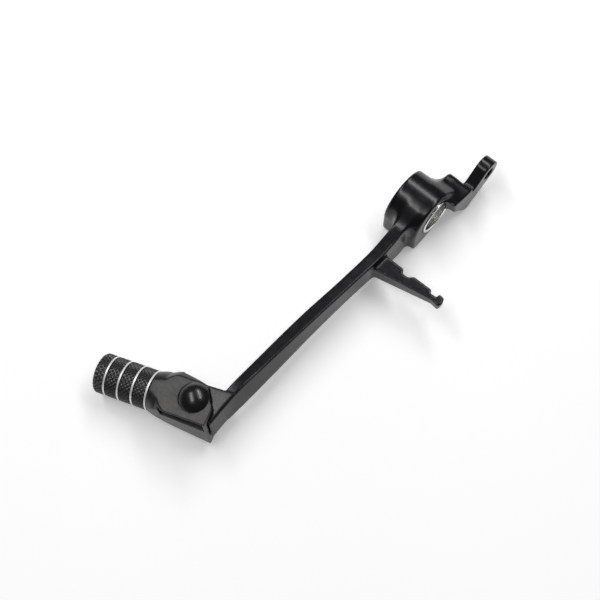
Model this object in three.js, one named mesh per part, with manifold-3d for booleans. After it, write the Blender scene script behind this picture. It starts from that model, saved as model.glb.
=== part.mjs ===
// Gear shift lever of a motorcycle with a folding toe tip, in millimetres, +Z up.
//
// The origin is the middle of the pivot bore. The bore runs along Y, the arm runs towards -X,
// and the toe peg points outboard, towards +Y. The linkage tab is on the +X side of the pivot.
import * as THREE from 'three';
import { mergeVertices } from 'three/addons/utils/BufferGeometryUtils.js';
import Module from 'manifold-3d';

const wasm = await Module();
wasm.setup();

// ---- driving dimensions ----------------------------------------------------------------------

const RUNNING_GAP = 0.4; // between the eye of the lever and the cheeks that turn on it
const FIT_GAP = 0.15; // between pieces that are pressed or screwed together

const PIVOT = {
  centreX: -1.8, // the boss is thicker on the arm's side of the bore
  radius: 14,
  inboard: -9.6,
  outboard: 9,
  noseX: -15.4, // the boss is drawn out to a nose under the root of the arm
  noseZ: -14,
};
const BUSH = { outer: 9.6, inner: 8.2, inboard: -10.2, outboard: 9.5, chamfer: 0.5 };

// Stations of the arm from the boss to the toe: middle, half width and half depth.
const ARM = {
  stations: [
    { x: -13, y: -1.8, z: -2.6, halfWidth: 3.3, halfDepth: 10.4 },
    { x: -23, y: -2.1, z: -2.8, halfWidth: 3.5, halfDepth: 9.4 },
    { x: -34, y: -2.1, z: -0.9, halfWidth: 3.3, halfDepth: 7.2 },
    { x: -52, y: -0.8, z: 0.3, halfWidth: 3.1, halfDepth: 6.2 },
    { x: -80, y: 1.6, z: 1.3, halfWidth: 3.4, halfDepth: 5.9 },
    { x: -108, y: 3.2, z: 2.6, halfWidth: 3.4, halfDepth: 5.9 },
    { x: -130, y: 3.95, z: 3.6, halfWidth: 3.2, halfDepth: 6.1 },
  ],
  draft: 0.1, // how much the sides spread per millimetre of depth below the middle
  squareness: 7,
};

const TAB = { holeX: 32.6, holeRadius: 3.1, endRadius: 6.7, inboard: -15.4, outboard: -9.4, rise: 27 };
const TAB_ROOT = { innerRadius: 11.2, outerX: 20.2, top: 4.4, bottom: -13.8, outboard: -1.6 };

// The spring hook finger reaches inboard from the arm, square to the pivot's axis.
const FINGER = {
  edgeX: -32.4, // the notched edge, on the boss side
  rootX: -41,
  tipX: -35,
  rootY: -3,
  tipY: -39.4,
  top: 4.2,
  plate: 4,
  rib: 3,
  ribRootDepth: 9.6,
  ribTipDepth: 5.2,
  firstNotch: { start: -15.2, end: -21.6, depth: 1.9 },
  secondNotch: { start: -31.4, end: -35.6, depth: 1.6 },
};

// The toe tip has its own frame: the rivet is its Z axis and the peg lies along its Y axis.
const TOE = { x: -139.4, y: 13.8, z: 2, sweep: 17.6, dip: 8.4 }; // angles in degrees
const FOLD_RADIUS = 8.7; // knuckle of the block round the rivet
const BLOCK = {
  toeX: -11.4,
  bossX: 8.8,
  shoulderX: 11.4,
  inboardY: -9.6,
  shoulderY: 10.4,
  collarY: 18.4,
  endY: 20.7,
  top: 9.2,
  bottom: -10.2,
  washerSeat: -9.5,
  cheekTop: 6.4,
  cheekBottom: -7,
  webX: -8.4,
  cavityY: 10,
};
const WINDOW = { startY: -7.5, endY: 13.6, bottom: 2, top: 8.3, depth: 1.9 };
const EYE = { radius: 7.9, top: BLOCK.cheekTop - RUNNING_GAP, bottom: BLOCK.cheekBottom + RUNNING_GAP };
const SPRING = {
  meanRadius: 5.3,
  wire: 0.6,
  turns: 3.5,
  bottom: -0.9,
  top: 5.9,
  bend: 1.4,
  legDown: -3.4,
  legUp: 8,
  legHoleRadius: 1.1,
  pocketRadius: 6.6,
  pocketBottom: -1.2,
};
const RIVET = { shank: 4, headRadius: 7, headHeight: 3.4, tailRadius: 5.6, tailHeight: 1.8 };
const RIVET_WASHER = { outer: 7, thickness: 1.2 };
const PEG = {
  axisX: -0.7,
  radius: 9.2,
  length: 27.2,
  rings: 4,
  pitch: 6.85,
  ringWidth: 0.9,
  ringDepth: 0.25,
  edge: 1.4,
  boltHole: 3.3,
};
const PEG_RECESS = { radius: 5.8, depth: 8.5 };
const PEG_BOLT = { shank: 3, head: 5, headHeight: 6, socket: 2.6, socketDepth: 3, endY: 11.5 };
const LOCK_WASHER = { outer: 5.2, thickness: 1.4 };

const ROUND = 48; // facets round a full turn
const degrees = THREE.MathUtils.degToRad;

// ---- solids ----------------------------------------------------------------------------------

/** The geometry with only its positions, and with the vertices that coincide merged. */
function welded(geometry) {
  geometry.deleteAttribute('normal');
  geometry.deleteAttribute('uv');
  return mergeVertices(geometry, 1e-4);
}

function solidOf(geometry) {
  const closed = welded(geometry);
  return new wasm.Manifold(new wasm.Mesh({
    numProp: 3,
    vertProperties: new Float32Array(closed.attributes.position.array),
    triVerts: new Uint32Array(closed.index.array),
  }));
}

function geometryOf(solid) {
  const mesh = solid.getMesh();
  const geometry = new THREE.BufferGeometry();
  geometry.setAttribute('position', new THREE.BufferAttribute(mesh.vertProperties, 3));
  geometry.setIndex(new THREE.BufferAttribute(mesh.triVerts, 1));
  const faceted = geometry.toNonIndexed();
  faceted.computeVertexNormals();
  return faceted;
}

/** A shape drawn in (x, z), extruded from yMin to yMax. */
function prismAlongY(shape, yMin, yMax) {
  const options = { depth: yMax - yMin, bevelEnabled: false, curveSegments: 16 };
  const geometry = new THREE.ExtrudeGeometry(shape, options);
  return geometry.rotateX(Math.PI / 2).translate(0, yMax, 0);
}

/** A shape drawn in (x, y), extruded from zMin to zMax. */
function prismAlongZ(shape, zMin, zMax) {
  const options = { depth: zMax - zMin, bevelEnabled: false, curveSegments: 16 };
  const geometry = new THREE.ExtrudeGeometry(shape, options);
  return geometry.translate(0, 0, zMin);
}

function box(xMin, xMax, yMin, yMax, zMin, zMax) {
  const geometry = new THREE.BoxGeometry(xMax - xMin, yMax - yMin, zMax - zMin);
  return geometry.translate((xMin + xMax) / 2, (yMin + yMax) / 2, (zMin + zMax) / 2);
}

function cylinderAlongY(radius, yMin, yMax, facets = ROUND) {
  return new THREE.CylinderGeometry(radius, radius, yMax - yMin, facets).translate(0, (yMin + yMax) / 2, 0);
}

function cylinderAlongZ(radius, zMin, zMax, facets = ROUND) {
  const geometry = new THREE.CylinderGeometry(radius, radius, zMax - zMin, facets);
  return geometry.rotateX(Math.PI / 2).translate(0, 0, (zMin + zMax) / 2);
}

/** A solid of revolution about Y from [radius, y] corners. */
function turnedAboutY(corners) {
  return new THREE.LatheGeometry(corners.map(([radius, y]) => new THREE.Vector2(radius, y)), ROUND);
}

/** A closed tube of sections: place(k, angle, reach) gives each point, k running from 0 to 1. */
function lofted(sides, steps, place) {
  const geometry = welded(new THREE.CylinderGeometry(1, 1, 1, sides, steps));
  const position = geometry.attributes.position;
  for (let i = 0; i < position.count; i += 1) {
    const across = position.getX(i);
    const up = position.getZ(i);
    const point = place(position.getY(i) + 0.5, Math.atan2(up, across), Math.hypot(across, up));
    position.setXYZ(i, point.x, point.y, point.z);
  }
  return geometry;
}

/** A point of a rounded rectangle of half sizes 1; squareness 2 is a circle. */
function roundedSquare(angle, squareness) {
  const power = 2 / squareness;
  const c = Math.cos(angle);
  const s = Math.sin(angle);
  return { across: Math.sign(c) * Math.abs(c) ** power, up: Math.sign(s) * Math.abs(s) ** power };
}

// ---- the toe tip's frame -----------------------------------------------------------------------

const toeFrame = new THREE.Object3D();
toeFrame.position.set(TOE.x, TOE.y, TOE.z);
toeFrame.rotation.set(-degrees(TOE.dip), 0, degrees(TOE.sweep), 'ZXY');
toeFrame.updateMatrix();

// ---- lever body ----------------------------------------------------------------------------------

/** The arm's middle, half width and half depth at the fraction k of the way to the toe. */
const armCurve = new THREE.CatmullRomCurve3(ARM.stations.map(({ x, y, z }) => new THREE.Vector3(x, y, z)));
const armSize = new THREE.CatmullRomCurve3(
  ARM.stations.map(({ halfWidth, halfDepth }) => new THREE.Vector3(halfWidth, halfDepth, 0)),
);

/** The arm twists gradually from the level boss to the dipped toe tip. */
function armGeometry() {
  return lofted(28, 22, (k, angle, reach) => {
    const middle = armCurve.getPoint(k);
    const size = armSize.getPoint(k);
    const corner = roundedSquare(angle, ARM.squareness);
    const up = reach * corner.up * size.y;
    const across = reach * corner.across * (size.x - ARM.draft * up);
    const twist = degrees(TOE.dip) * THREE.MathUtils.smoothstep(k, 0.15, 1);
    middle.y += across * Math.cos(twist) + up * Math.sin(twist);
    middle.z += up * Math.cos(twist) - across * Math.sin(twist);
    return middle;
  });
}

function bossGeometry() {
  return cylinderAlongY(PIVOT.radius, PIVOT.inboard, PIVOT.outboard, 64).translate(PIVOT.centreX, 0, 0);
}

/** The nose under the arm's root: two flanks, both tangent to the boss. */
function noseShape() {
  const reach = Math.hypot(PIVOT.noseX - PIVOT.centreX, PIVOT.noseZ);
  const bearing = Math.atan2(PIVOT.noseZ, PIVOT.noseX - PIVOT.centreX);
  const spread = Math.acos(PIVOT.radius / reach);
  const onBoss = (angle) => [PIVOT.centreX + PIVOT.radius * Math.cos(angle), PIVOT.radius * Math.sin(angle)];
  const shape = new THREE.Shape();
  shape.moveTo(PIVOT.centreX, 0);
  shape.lineTo(...onBoss(bearing - spread));
  shape.lineTo(PIVOT.noseX, PIVOT.noseZ);
  shape.lineTo(...onBoss(bearing + spread));
  return shape;
}

/** The hollow curve that carries the arm's upper edge up on to the boss. */
function rootGussetShape() {
  const shape = new THREE.Shape();
  shape.moveTo(-9, 0);
  shape.lineTo(-38, 0);
  shape.lineTo(-38, 5.4);
  shape.quadraticCurveTo(-20, 5.8, -11.2, 10.4);
  shape.lineTo(-9, 10.4);
  return shape;
}

/** The offset root of the linkage tab, which wraps the bush on the side away from the arm. */
function tabRootShape() {
  const { innerRadius, outerX, top, bottom } = TAB_ROOT;
  const upper = degrees(48);
  const lower = degrees(-24);
  const shape = new THREE.Shape();
  shape.moveTo(innerRadius * Math.cos(upper), innerRadius * Math.sin(upper));
  shape.quadraticCurveTo(13, top + 1, outerX - 3, top);
  shape.quadraticCurveTo(outerX, top, outerX, top - 3);
  shape.lineTo(outerX, bottom + 2);
  shape.quadraticCurveTo(outerX, bottom, outerX - 2, bottom);
  shape.lineTo(outerX - 3.6, bottom);
  shape.absarc(0, 0, innerRadius, lower, upper, false);
  return shape;
}

/** From above, the web that fills the corner between the boss and the tab's root. */
function rootWebShape() {
  const shape = new THREE.Shape();
  shape.moveTo(8, 5.4);
  shape.quadraticCurveTo(11.6, 0.8, TAB_ROOT.outerX - 2.6, TAB_ROOT.outboard - 0.4);
  shape.lineTo(TAB_ROOT.outerX - 2.6, TAB_ROOT.outboard - 3);
  shape.lineTo(8, TAB_ROOT.outboard - 3);
  return shape;
}

/** The flat linkage tab: it widens from its round end down to the root. */
function tabShape() {
  const rise = degrees(TAB.rise);
  const shape = new THREE.Shape();
  shape.moveTo(15, -1.4);
  shape.lineTo(17, TAB_ROOT.bottom);
  shape.lineTo(TAB_ROOT.outerX - 1, TAB_ROOT.bottom);
  shape.absarc(TAB.holeX, 0, TAB.endRadius, rise - Math.PI / 2, rise + Math.PI / 2, false);
  return shape;
}

function notch(shape, { start, end, depth }) {
  shape.lineTo(FINGER.edgeX, start);
  shape.lineTo(FINGER.edgeX - depth, start - 0.9);
  shape.lineTo(FINGER.edgeX - depth, (start + 2 * end) / 3);
  shape.lineTo(FINGER.edgeX, end);
}

/** The finger from above, with its two hook notches in the edge on the boss side. */
function fingerShape() {
  const shape = new THREE.Shape();
  shape.moveTo(FINGER.rootX, FINGER.rootY);
  shape.lineTo(FINGER.edgeX, FINGER.rootY);
  notch(shape, FINGER.firstNotch);
  notch(shape, FINGER.secondNotch);
  shape.lineTo(FINGER.edgeX, FINGER.tipY + 1);
  shape.lineTo(FINGER.edgeX - 1, FINGER.tipY);
  shape.lineTo(FINGER.tipX + 0.8, FINGER.tipY);
  shape.lineTo(FINGER.tipX, FINGER.tipY + 0.8);
  return shape;
}

/** The rib under the finger's toe-side edge, deepest at the arm. */
function fingerRibGeometry() {
  const ribShape = new THREE.Shape();
  ribShape.moveTo(FINGER.rootX, FINGER.rootY);
  ribShape.lineTo(FINGER.rootX + FINGER.rib, FINGER.rootY);
  ribShape.lineTo(FINGER.tipX + FINGER.rib, FINGER.tipY + 1);
  ribShape.lineTo(FINGER.tipX, FINGER.tipY + 1);
  const rib = prismAlongZ(ribShape, FINGER.top - 1 - FINGER.ribRootDepth, FINGER.top - 1);
  const position = rib.attributes.position;
  for (let i = 0; i < position.count; i += 1) {
    const along = (position.getY(i) - FINGER.rootY) / (FINGER.tipY - FINGER.rootY);
    const depth = THREE.MathUtils.lerp(FINGER.ribRootDepth, FINGER.ribTipDepth, along);
    if (position.getZ(i) < FINGER.top - 2) {
      position.setZ(i, FINGER.top - depth);
    }
  }
  return rib;
}

/** The full-depth lug and the eye that the toe block turns on, in the toe tip's frame. */
function lugShape() {
  const stopY = BLOCK.inboardY - RUNNING_GAP;
  const shape = new THREE.Shape();
  shape.moveTo(BLOCK.toeX - 0.2, stopY);
  shape.lineTo(8.8, -15.5);
  shape.lineTo(8.8, -10.6);
  shape.lineTo(8.4, -0.5);
  shape.absarc(0, 0, EYE.radius, 0, Math.PI, false);
  shape.lineTo(-EYE.radius, stopY);
  return shape;
}

function eyeCuts() {
  const pocket = cylinderAlongZ(SPRING.pocketRadius, SPRING.pocketBottom, EYE.top + 1);
  const rivetHole = cylinderAlongZ(RIVET.shank + RUNNING_GAP, EYE.bottom - 1, EYE.top + 1, 32);
  const legHole = cylinderAlongZ(SPRING.legHoleRadius, SPRING.pocketBottom - 3, EYE.top, 12);
  legHole.translate(-SPRING.meanRadius, 0, 0);
  return [pocket, rivetHole, legHole];
}

function leverBody() {
  const inToe = (geometry) => solidOf(geometry.applyMatrix4(toeFrame.matrix));
  let body = solidOf(armGeometry());
  body = body.add(solidOf(bossGeometry()));
  body = body.add(solidOf(prismAlongY(noseShape(), PIVOT.inboard, PIVOT.outboard - 0.6)));
  body = body.add(solidOf(prismAlongY(rootGussetShape(), -5.4, 0.8)));
  body = body.add(solidOf(prismAlongY(tabRootShape(), TAB.inboard, TAB_ROOT.outboard)));
  body = body.add(solidOf(prismAlongZ(rootWebShape(), -8, TAB_ROOT.top - 1.2)));
  body = body.add(solidOf(prismAlongY(tabShape(), TAB.inboard, TAB.outboard)));
  body = body.add(solidOf(prismAlongZ(fingerShape(), FINGER.top - FINGER.plate, FINGER.top)));
  body = body.add(solidOf(fingerRibGeometry()));
  body = body.add(inToe(prismAlongZ(lugShape(), EYE.bottom, EYE.top)));
  body = body.subtract(solidOf(cylinderAlongY(BUSH.outer + FIT_GAP, PIVOT.inboard - 1, PIVOT.outboard + 1)));
  const tabHole = cylinderAlongY(TAB.holeRadius, TAB.inboard - 1, TAB.outboard + 1, 32);
  body = body.subtract(solidOf(tabHole.translate(TAB.holeX, 0, 0)));
  for (const cut of eyeCuts()) {
    body = body.subtract(inToe(cut));
  }
  return geometryOf(body);
}

// ---- pivot bush ------------------------------------------------------------------------------------

function pivotBush() {
  const { outer, inner, inboard, outboard, chamfer } = BUSH;
  return turnedAboutY([
    [inner, inboard + chamfer],
    [inner + chamfer, inboard],
    [outer, inboard],
    [outer, outboard],
    [inner + chamfer, outboard],
    [inner, outboard - chamfer],
    [inner, inboard + chamfer],
  ]);
}

// ---- toe tip, in its own frame -----------------------------------------------------------------------

/** The block from its stop face to the collar: square over the rivet, round at the collar. */
function blockBodyGeometry() {
  const { lerp, smoothstep } = THREE.MathUtils;
  const length = BLOCK.collarY - BLOCK.inboardY;
  const collarLeft = PEG.axisX - PEG.radius;
  const collarRight = PEG.axisX + PEG.radius;
  return lofted(44, 18, (k, angle, reach) => {
    const y = BLOCK.inboardY + k * length;
    const neck = smoothstep(y, BLOCK.shoulderY, BLOCK.collarY + 0.5);
    // the flat top keeps its width up to the shoulder, while the wall under it narrows all the way
    const upper = smoothstep(Math.sin(angle), -0.2, 0.6);
    const taper = lerp(k, neck, upper);
    const corner = roundedSquare(angle, lerp(9, 2, taper ** lerp(1, 0.5, upper)));
    const left = lerp(BLOCK.toeX, collarLeft, taper);
    const right = lerp(lerp(BLOCK.bossX, BLOCK.shoulderX, smoothstep(y, 0, 11)), collarRight, neck);
    const top = lerp(BLOCK.top, PEG.radius, neck);
    const bottom = lerp(BLOCK.bottom, -PEG.radius, k);
    const x = (left + right + reach * corner.across * (right - left)) / 2;
    const z = (top + bottom + reach * corner.up * (top - bottom)) / 2;
    return new THREE.Vector3(x, y, z);
  });
}

/** The block from above: the knuckle rounds the corner between the rivet and the arm. */
function blockOutline() {
  const shape = new THREE.Shape();
  shape.moveTo(BLOCK.toeX - 1, BLOCK.inboardY);
  shape.lineTo(-3, BLOCK.inboardY);
  shape.quadraticCurveTo(-1.5, BLOCK.inboardY, 0, -FOLD_RADIUS);
  shape.absarc(0, 0, FOLD_RADIUS, -Math.PI / 2, 0, false);
  shape.lineTo(BLOCK.shoulderX + 0.5, BLOCK.shoulderY - 2);
  shape.lineTo(BLOCK.shoulderX + 0.5, BLOCK.collarY + 1);
  shape.lineTo(BLOCK.toeX - 1, BLOCK.collarY + 1);
  return shape;
}

function toeBlock() {
  let block = solidOf(blockBodyGeometry());
  block = block.intersect(solidOf(prismAlongZ(blockOutline(), BLOCK.bottom - 1, BLOCK.top + 2)));
  const collar = cylinderAlongY(PEG.radius, BLOCK.collarY - 0.5, BLOCK.endY, 56).translate(PEG.axisX, 0, 0);
  block = block.add(solidOf(collar));
  const { webX, cavityY, cheekBottom, cheekTop, inboardY, shoulderX, toeX } = BLOCK;
  block = block.subtract(solidOf(box(webX, shoulderX + 2, inboardY - 1, cavityY, cheekBottom, cheekTop)));
  block = block.subtract(solidOf(box(
    toeX - 1, toeX + WINDOW.depth, WINDOW.startY, WINDOW.endY, WINDOW.bottom, WINDOW.top,
  )));
  block = block.subtract(solidOf(cylinderAlongZ(RIVET.shank + FIT_GAP, BLOCK.bottom - 1, BLOCK.top + 1, 32)));
  const legHole = cylinderAlongZ(SPRING.legHoleRadius, cheekTop - 1, BLOCK.top + 1, 12);
  block = block.subtract(solidOf(legHole.translate(SPRING.meanRadius, 0, 0)));
  const washerRecess = cylinderAlongZ(RIVET_WASHER.outer + 0.4, BLOCK.bottom - 1, BLOCK.washerSeat);
  block = block.subtract(solidOf(washerRecess));
  const boltHole = cylinderAlongY(PEG_BOLT.shank + FIT_GAP, cavityY - 1, BLOCK.endY + 1, 32);
  block = block.subtract(solidOf(boltHole.translate(PEG.axisX, 0, 0)));
  return geometryOf(block);
}

/** A domed head above the top cheek, a shank, and a tail upset over the washer. */
function foldRivet() {
  const head = BLOCK.top + FIT_GAP;
  const seat = BLOCK.washerSeat - RIVET_WASHER.thickness - 2 * FIT_GAP;
  const tail = seat - RIVET.tailHeight;
  const corners = [[0, tail], [RIVET.tailRadius - 1, tail]];
  corners.push([RIVET.tailRadius, tail + 0.9], [RIVET.tailRadius, seat]);
  corners.push([RIVET.shank, seat], [RIVET.shank, head], [RIVET.headRadius, head]);
  const ball = (RIVET.headRadius ** 2 + RIVET.headHeight ** 2) / (2 * RIVET.headHeight);
  const rim = Math.asin(RIVET.headRadius / ball);
  const crown = head + 0.3 + RIVET.headHeight;
  const arcSteps = 7;
  for (let i = 0; i < arcSteps; i += 1) {
    const angle = rim * (1 - i / arcSteps);
    corners.push([ball * Math.sin(angle), crown - ball * (1 - Math.cos(angle))]);
  }
  corners.push([0, crown]);
  return turnedAboutY(corners).rotateX(Math.PI / 2);
}

function rivetWasher() {
  const top = BLOCK.washerSeat - FIT_GAP;
  const inner = RIVET.shank + FIT_GAP;
  const bottom = top - RIVET_WASHER.thickness;
  const { outer } = RIVET_WASHER;
  return turnedAboutY([[inner, bottom], [outer, bottom], [outer, top], [inner, top], [inner, bottom]])
    .rotateX(Math.PI / 2);
}

/** The torsion spring's centre line: a leg down into the eye, the coil, a leg up into the cheek. */
function springPath() {
  const { meanRadius, wire, turns, bottom, top, bend, legDown, legUp } = SPRING;
  const low = bottom + wire;
  const high = top - wire;
  const points = [new THREE.Vector3(-meanRadius, 0, legDown), new THREE.Vector3(-meanRadius, 0, low - bend)];
  const bendTurn = bend / meanRadius;
  const sweep = turns * 2 * Math.PI;
  const coilSteps = turns * 20;
  for (let i = 0; i <= coilSteps; i += 1) {
    const share = i / coilSteps;
    const angle = Math.PI + THREE.MathUtils.lerp(bendTurn, sweep - bendTurn, share);
    const z = THREE.MathUtils.lerp(low, high, share);
    points.push(new THREE.Vector3(meanRadius * Math.cos(angle), meanRadius * Math.sin(angle), z));
  }
  points.push(new THREE.Vector3(meanRadius, 0, high + bend), new THREE.Vector3(meanRadius, 0, legUp));
  return new THREE.CatmullRomCurve3(points);
}

function foldSpring() {
  const wire = new THREE.Shape().absarc(0, 0, SPRING.wire, 0, 2 * Math.PI, false);
  return new THREE.ExtrudeGeometry(wire, {
    extrudePath: springPath(),
    steps: 180,
    curveSegments: 5,
    bevelEnabled: false,
  });
}

/** The knurled sleeve: bright turned grooves part its knurled bands, and the end holds the bolt. */
function toePeg() {
  const start = BLOCK.endY + FIT_GAP;
  const end = start + PEG.length;
  const floor = end - PEG_RECESS.depth;
  const groove = PEG.radius - PEG.ringDepth;
  const corners = [[PEG.boltHole, start]];
  for (let i = 0; i < PEG.rings; i += 1) {
    const ringStart = start + i * PEG.pitch;
    corners.push([groove, ringStart], [groove, ringStart + PEG.ringWidth]);
    corners.push([PEG.radius, ringStart + PEG.ringWidth + 0.2]);
    if (i < PEG.rings - 1) {
      corners.push([PEG.radius, ringStart + PEG.pitch - 0.2]);
    }
  }
  corners.push([PEG.radius, end - PEG.edge], [PEG.radius - PEG.edge, end]);
  corners.push([PEG_RECESS.radius, end], [PEG_RECESS.radius, floor]);
  corners.push([PEG.boltHole, floor], [PEG.boltHole, start]);
  return turnedAboutY(corners);
}

const pegEnd = BLOCK.endY + FIT_GAP + PEG.length;
const washerSeat = pegEnd - PEG_RECESS.depth + FIT_GAP;
const headSeat = washerSeat + LOCK_WASHER.thickness + FIT_GAP;

function pegLockWasher() {
  const inner = PEG_BOLT.shank + FIT_GAP;
  const top = washerSeat + LOCK_WASHER.thickness;
  const { outer } = LOCK_WASHER;
  const corners = [[inner, washerSeat], [outer, washerSeat], [outer, top], [inner, top]];
  return turnedAboutY([...corners, corners[0]]);
}

function pegBolt() {
  const { shank, head, headHeight, socket, socketDepth, endY } = PEG_BOLT;
  const top = headSeat + headHeight;
  const bolt = turnedAboutY([[0, endY], [shank - 0.6, endY], [shank, endY + 0.6], [shank, headSeat],
    [head, headSeat], [head, top - 0.4], [head - 0.4, top], [0, top]]);
  const hexagon = cylinderAlongY(socket, top - socketDepth, top + 1, 6);
  return geometryOf(solidOf(bolt).subtract(solidOf(hexagon)));
}

// ---- assembly ----------------------------------------------------------------------------------------

const blackCoat = { color: 0x17181b, roughness: 0.38, metalness: 0.15 };
const blastedBlack = { color: 0x26262a, roughness: 0.6, metalness: 0.3 };
const blackOxide = { color: 0x101113, roughness: 0.42, metalness: 0.6 };
const knurledBlack = { color: 0x0f0f10, roughness: 0.55, metalness: 0.4 };
const turnedSteel = { color: 0xc9cac5, roughness: 0.25, metalness: 1 };
const springSteel = { color: 0x6d6f70, roughness: 0.4, metalness: 1 };

function piece(name, geometry, look) {
  const mesh = new THREE.Mesh(geometry, new THREE.MeshStandardMaterial(look));
  mesh.name = name;
  return mesh;
}

const toeTip = new THREE.Group();
toeTip.position.copy(toeFrame.position);
toeTip.rotation.copy(toeFrame.rotation);
toeTip.add(
  piece('toe_block', toeBlock(), blastedBlack),
  piece('fold_rivet', foldRivet(), blackOxide),
  piece('rivet_washer', rivetWasher(), blackOxide),
  piece('fold_spring', foldSpring(), springSteel),
);

const pegLine = new THREE.Group();
pegLine.position.x = PEG.axisX;
pegLine.add(
  piece('toe_peg', toePeg(), knurledBlack),
  piece('peg_lock_washer', pegLockWasher(), springSteel),
  piece('peg_bolt', pegBolt(), blackOxide),
);
toeTip.add(pegLine);

const lever = new THREE.Group();
lever.add(
  piece('lever_body', leverBody(), blackCoat),
  piece('pivot_bush', pivotBush(), turnedSteel),
  toeTip,
);

export default lever;
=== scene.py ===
"""Visual model of a motorcycle's gear shift lever with a folding toe tip.

Shapes are drawn in millimetres in the CAD's row frame: the pivot bore lies along Y through the
origin, the arm runs towards -X and the toe peg points towards +Y. The toe tip has a frame of
its own, with the fold rivet along its Z axis and the peg along its Y axis.
"""

import itertools
import math

import bmesh
import bpy
import numpy as np
from mathutils import Matrix, Vector


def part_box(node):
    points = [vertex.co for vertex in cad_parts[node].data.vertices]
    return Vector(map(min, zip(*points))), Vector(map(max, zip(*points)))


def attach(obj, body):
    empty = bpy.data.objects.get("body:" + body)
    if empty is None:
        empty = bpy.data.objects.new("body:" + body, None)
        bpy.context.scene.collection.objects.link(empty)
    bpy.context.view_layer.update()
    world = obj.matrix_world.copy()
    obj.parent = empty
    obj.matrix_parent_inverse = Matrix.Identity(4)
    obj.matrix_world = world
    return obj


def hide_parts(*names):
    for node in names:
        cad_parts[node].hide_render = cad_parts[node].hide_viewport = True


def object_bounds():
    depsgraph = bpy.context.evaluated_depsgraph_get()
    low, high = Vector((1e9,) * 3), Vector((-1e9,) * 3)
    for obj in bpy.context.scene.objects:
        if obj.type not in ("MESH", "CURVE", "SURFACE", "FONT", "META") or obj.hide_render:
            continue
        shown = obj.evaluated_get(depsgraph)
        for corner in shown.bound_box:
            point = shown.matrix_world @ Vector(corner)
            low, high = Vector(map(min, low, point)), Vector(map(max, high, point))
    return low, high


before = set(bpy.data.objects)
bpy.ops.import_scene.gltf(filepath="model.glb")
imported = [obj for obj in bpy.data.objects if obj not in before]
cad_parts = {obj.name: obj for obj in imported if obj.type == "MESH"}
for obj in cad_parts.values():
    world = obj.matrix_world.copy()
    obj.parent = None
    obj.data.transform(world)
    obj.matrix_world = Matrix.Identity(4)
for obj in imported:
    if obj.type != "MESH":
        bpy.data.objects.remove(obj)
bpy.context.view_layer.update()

MM = 0.001

# ---- driving dimensions, in millimetres ---------------------------------------------------------

FIT = 0.15  # gap between pieces that are pressed or screwed together
RUNNING = 0.4  # gap round a piece that turns, or that drops into a seat

BOSS = {
    "x": -1.8, "radius": 14.0, "inboard": -9.6, "outboard": 9.0, "nose_x": -15.75,
    "bore": 9.7, "bore_reach": 10.5,  # the bore's cut also trims the tab's root, this far inboard
}
BUSH = {"outer": 9.6, "inner": 8.2, "inboard": -10.2, "outboard": 9.5, "mouth": 0.45, "chamfer": 0.25}

# Stations of the arm: x, middle y, middle z, half width, half depth, spread of the sides with depth.
# The first two lie inside the boss, and the last lies past the arm's end, inside the lug.
ARM = np.array([
    [-9.0, -1.8, -2.2, 3.3, 11.4, 0.05],
    [-13.0, -1.8, -2.4, 3.3, 10.7, 0.05],
    [-23.0, -2.1, -2.7, 3.5, 9.5, 0.05],
    [-34.0, -2.1, -0.9, 3.3, 7.2, 0.05],
    [-52.0, -0.8, 0.3, 3.1, 6.2, 0.05],
    [-80.0, 1.6, 1.3, 3.35, 5.9, 0.075],
    [-108.0, 3.2, 2.5, 3.4, 5.9, 0.135],
    [-126.0, 3.9, 3.7, 3.2, 6.1, 0.137],
    [-134.0, 3.95, 3.25, 2.88, 6.1, 0.08],
    [-140.0, 3.9, 2.8, 2.64, 6.1, 0.03],
])
ARM_END = -135.0

TAB = {
    "hole_x": 32.6, "hole": 3.1, "end": 6.7, "rise": math.radians(27),
    "inboard": -15.4, "outboard": -9.4,
}
TAB_ROOT = {"inboard": -15.4, "outboard": -1.8, "web_bottom": -9.0, "web_top": 2.6}
FINGER = {
    "root_y": -3.0, "length": 36.4,
    "top": 4.2, "plate": 4.0,
    "root_depth": 9.6, "tip_depth": 5.2,
}

# The toe tip's frame: where it stands, its turn about Z and its tilt about the arm's line.
TOE_ORIGIN = Vector((-139.4, 13.8, 2.0))
TOE_SWEEP = math.radians(17.6)
TOE_DIP = math.radians(8.4)
TOE_TURN = Matrix.Rotation(TOE_SWEEP, 3, "Z") @ Matrix.Rotation(-TOE_DIP, 3, "X")
TOE = Matrix.LocRotScale(TOE_ORIGIN, TOE_TURN, None)

BLOCK = {"stop": -9.6, "top": 9.2, "bottom": -10.2, "toe_x": -10.2, "end": 20.7}
CHEEK = {"top": 6.4, "bottom": -7.0, "web_x": -8.4, "cavity_y": 10.0}
SLOT = {"floor_x": -7.6, "bottom": 2.0, "top": 8.4, "start": -8.4, "end": 13.4}
EYE = {"radius": 7.9, "top": 6.0, "bottom": -6.6, "pocket": 6.6, "pocket_floor": -1.2}
LUG = {"toe_u": -12.7, "boss_u": 8.7, "inboard": -22.0}
RIVET = {"shank": 4.0, "head": 7.0, "rim": 0.3, "head_height": 3.4, "tail": 5.6, "tail_height": 1.8}
RIVET_WASHER = {"seat": -9.5, "outer": 7.0, "thickness": 1.2}
SPRING = {
    "radius": 5.3, "wire": 0.6, "turns": 3.5, "bottom": -0.9, "top": 5.9,
    "bend": 1.4, "leg_down": -3.4, "leg_up": 8.0, "leg_hole": 1.1,
}
PEG = {"x": -0.7, "radius": 9.2, "start": 20.85, "length": 27.2, "rings": 4, "pitch": 6.85, "ring": 0.85}
PEG_RECESS = {"radius": 5.8, "depth": 8.5}
KNURL = {"round": 30, "depth": 0.5, "fine": 3, "fade": 0.35, "end_rounding": 1.5}
BOLT = {"shank": 3.0, "head": 5.0, "head_height": 6.0, "socket": 2.6, "socket_depth": 3.0, "end": 11.5}
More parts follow.
